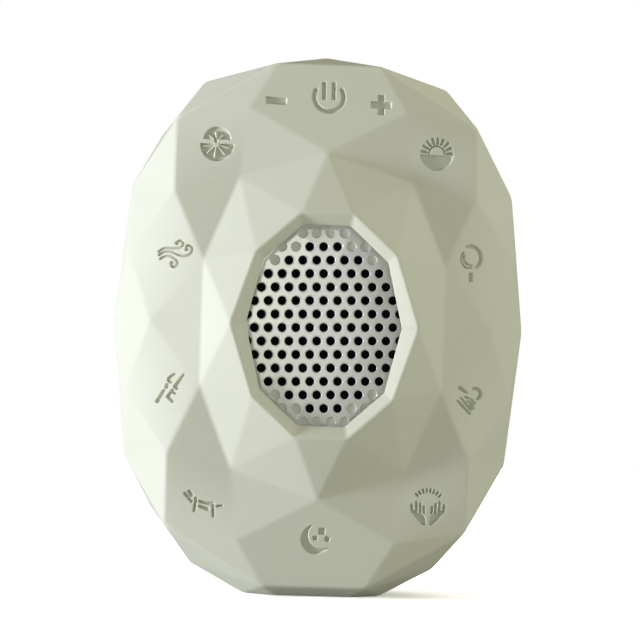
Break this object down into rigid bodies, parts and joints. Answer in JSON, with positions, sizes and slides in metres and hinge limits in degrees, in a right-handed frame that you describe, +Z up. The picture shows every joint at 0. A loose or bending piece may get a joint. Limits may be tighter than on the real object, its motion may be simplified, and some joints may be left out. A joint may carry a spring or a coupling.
{
  "type": "white noise sound machine",
  "caption": "Upright faceted sound machine with a recessed perforated speaker grille, soft press keys with sunk symbols around it, a flat foot and a rear charging port.",
  "frame": {"origin": "on the surface it stands on, under the centre of its bounding box", "axes": "+Z up the height, -Y out of the front grille, +X to the right as seen from the front"},
  "size_m": [0.096, 0.042, 0.126],
  "materials": {
    "battery_foil": "laminated foil pouch",
    "black_plastic": "moulded",
    "board_laminate": "solder mask",
    "ceramic_parts": "ceramic and film",
    "cone_paper": "pressed paper",
    "copper_coil": "enamelled copper wire",
    "dust_cloth": "black open weave",
    "ferrite": "sintered ferrite",
    "foam": "closed cell foam",
    "foot_rubber": "matte",
    "frame_plastic": "moulded ABS",
    "grille_enamel": "satin light grey enamel",
    "lead_wire": "insulated wire",
    "plunger_brass": "moulded plunger",
    "sage_plastic": "soft-touch coated ABS",
    "sage_silicone": "soft matte silicone skin",
    "spider_cloth": "resin treated cloth",
    "surround_rubber": "butyl rubber",
    "zinc_steel": "zinc plated"
  },
  "bodies": {
    "root": {"front_skin": "sage_silicone", "front_frame": "frame_plastic", "rear_shell": "sage_plastic", "foot_pad": "foot_rubber", "grille": "grille_enamel", "grille_cloth": "dust_cloth", "speaker_gasket": "foam", "speaker_basket": "zinc_steel", "speaker_cone": "cone_paper", "speaker_surround": "surround_rubber", "dust_cap": "cone_paper", "speaker_spider": "spider_cloth", "voice_coil": "copper_coil", "top_plate": "zinc_steel", "magnet": "ferrite", "yoke": "zinc_steel", "speaker_screws": "zinc_steel", "main_board": "board_laminate", "switch_bodies": "black_plastic", "board_screws": "zinc_steel", "case_screws": "zinc_steel", "controller_chip": "black_plastic", "amplifier_chip": "black_plastic", "sound_memory": "black_plastic", "board_passives": "ceramic_parts", "board_connectors": "frame_plastic", "battery_cell": "battery_foil", "battery_pad": "foam", "charge_board": "board_laminate", "charge_screws": "zinc_steel", "port_shell": "zinc_steel", "port_tongue": "black_plastic", "speaker_leads": "lead_wire", "battery_leads": "lead_wire", "charge_leads": "lead_wire"},
    "power_key": {"key_power": "sage_silicone", "plunger_power": "plunger_brass"},
    "minus_key": {"key_minus": "sage_silicone", "plunger_minus": "plunger_brass"},
    "plus_key": {"key_plus": "sage_silicone", "plunger_plus": "plunger_brass"},
    "sunrise_key": {"key_sunrise": "sage_silicone", "plunger_sunrise": "plunger_brass"},
    "gong_key": {"key_gong": "sage_silicone", "plunger_gong": "plunger_brass"},
    "heart_key": {"key_heart": "sage_silicone", "plunger_heart": "plunger_brass"},
    "hands_key": {"key_hands": "sage_silicone", "plunger_hands": "plunger_brass"},
    "moon_key": {"key_moon": "sage_silicone", "plunger_moon": "plunger_brass"},
    "walker_key": {"key_walker": "sage_silicone", "plunger_walker": "plunger_brass"},
    "sleeper_key": {"key_sleeper": "sage_silicone", "plunger_sleeper": "plunger_brass"},
    "wind_key": {"key_wind": "sage_silicone", "plunger_wind": "plunger_brass"},
    "citrus_key": {"key_citrus": "sage_silicone", "plunger_citrus": "plunger_brass"}
  },
  "joints": [
    {"name": "power_press", "type": "slide", "parent": "root", "child": "power_key", "axis": [0, 1, 0], "range_m": [0, 0.0005], "stiffness_N_per_m": 1200},
    {"name": "minus_press", "type": "slide", "parent": "root", "child": "minus_key", "axis": [0, 1, 0], "range_m": [0, 0.0005], "stiffness_N_per_m": 1200},
    {"name": "plus_press", "type": "slide", "parent": "root", "child": "plus_key", "axis": [0, 1, 0], "range_m": [0, 0.0005], "stiffness_N_per_m": 1200},
    {"name": "sunrise_press", "type": "slide", "parent": "root", "child": "sunrise_key", "axis": [0, 1, 0], "range_m": [0, 0.0005], "stiffness_N_per_m": 1200},
    {"name": "gong_press", "type": "slide", "parent": "root", "child": "gong_key", "axis": [0, 1, 0], "range_m": [0, 0.0005], "stiffness_N_per_m": 1200},
    {"name": "heart_press", "type": "slide", "parent": "root", "child": "heart_key", "axis": [0, 1, 0], "range_m": [0, 0.0005], "stiffness_N_per_m": 1200},
    {"name": "hands_press", "type": "slide", "parent": "root", "child": "hands_key", "axis": [0, 1, 0], "range_m": [0, 0.0005], "stiffness_N_per_m": 1200},
    {"name": "moon_press", "type": "slide", "parent": "root", "child": "moon_key", "axis": [0, 1, 0], "range_m": [0, 0.0005], "stiffness_N_per_m": 1200},
    {"name": "walker_press", "type": "slide", "parent": "root", "child": "walker_key", "axis": [0, 1, 0], "range_m": [0, 0.0005], "stiffness_N_per_m": 1200},
    {"name": "sleeper_press", "type": "slide", "parent": "root", "child": "sleeper_key", "axis": [0, 1, 0], "range_m": [0, 0.0005], "stiffness_N_per_m": 1200},
    {"name": "wind_press", "type": "slide", "parent": "root", "child": "wind_key", "axis": [0, 1, 0], "range_m": [0, 0.0005], "stiffness_N_per_m": 1200},
    {"name": "citrus_press", "type": "slide", "parent": "root", "child": "citrus_key", "axis": [0, 1, 0], "range_m": [0, 0.0005], "stiffness_N_per_m": 1200}
  ]
}
